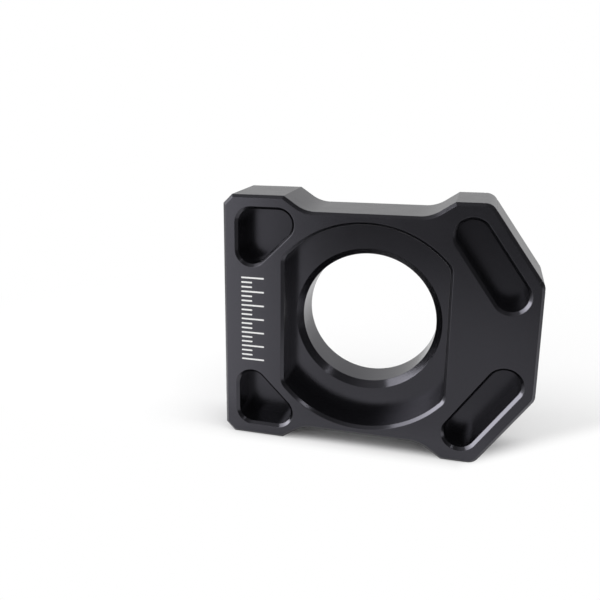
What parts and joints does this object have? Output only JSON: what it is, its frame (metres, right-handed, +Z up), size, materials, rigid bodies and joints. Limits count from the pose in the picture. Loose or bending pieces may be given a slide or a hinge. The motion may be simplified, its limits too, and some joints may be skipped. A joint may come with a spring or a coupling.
{
  "type": "motorcycle chain adjuster block",
  "caption": "Milled block that carries one end of a motorcycle's rear axle: a through bore in a flat-sided recess, waisted edges, a pointed end, and blind corner pockets and slots.",
  "frame": {"origin": "on the axis of the axle bore, half way through the block's thickness", "axes": "+X along the block to its pointed end, +Z up across the feet, -Y out of the recessed front face; the axle runs along Y"},
  "size_m": [0.0632, 0.0158, 0.0528],
  "materials": {
    "anodised_aluminium": "fine milled and bead-smooth, black anodised, satin"
  },
  "bodies": {
    "root": {"adjuster_block": "anodised_aluminium"}
  },
  "joints": []
}
